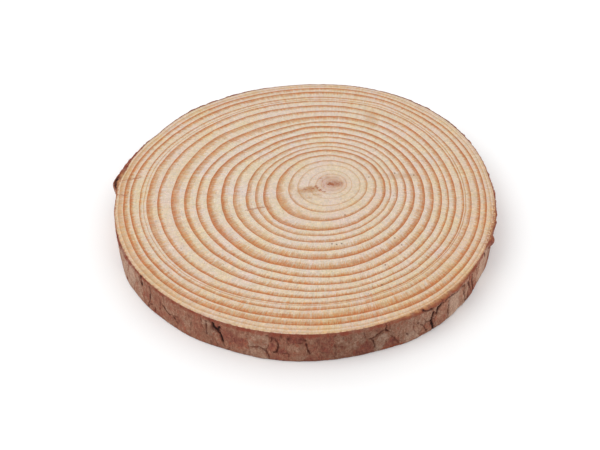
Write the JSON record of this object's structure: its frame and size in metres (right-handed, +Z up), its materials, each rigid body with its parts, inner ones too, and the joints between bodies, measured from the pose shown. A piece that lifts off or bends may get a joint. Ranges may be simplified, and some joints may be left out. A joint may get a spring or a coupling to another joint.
{
  "type": "wood slice",
  "caption": "Flat natural slice cut across a thin tree trunk, sanded growth-ring faces and rough bark left on the rim, lies flat.",
  "frame": {"origin": "under the middle of the slice's box, on the flat underside that it lies on", "axes": "+Z up along the trunk's grain, from the underside to the top face; -Y towards the thick plated bark that faces the viewer; +X to the viewer's right"},
  "size_m": [0.112, 0.1078, 0.01],
  "materials": {
    "wood": "fine sanded, bare",
    "bark": "rough natural bark, bare"
  },
  "bodies": {
    "root": {"wood_slice": "wood"}
  },
  "joints": []
}
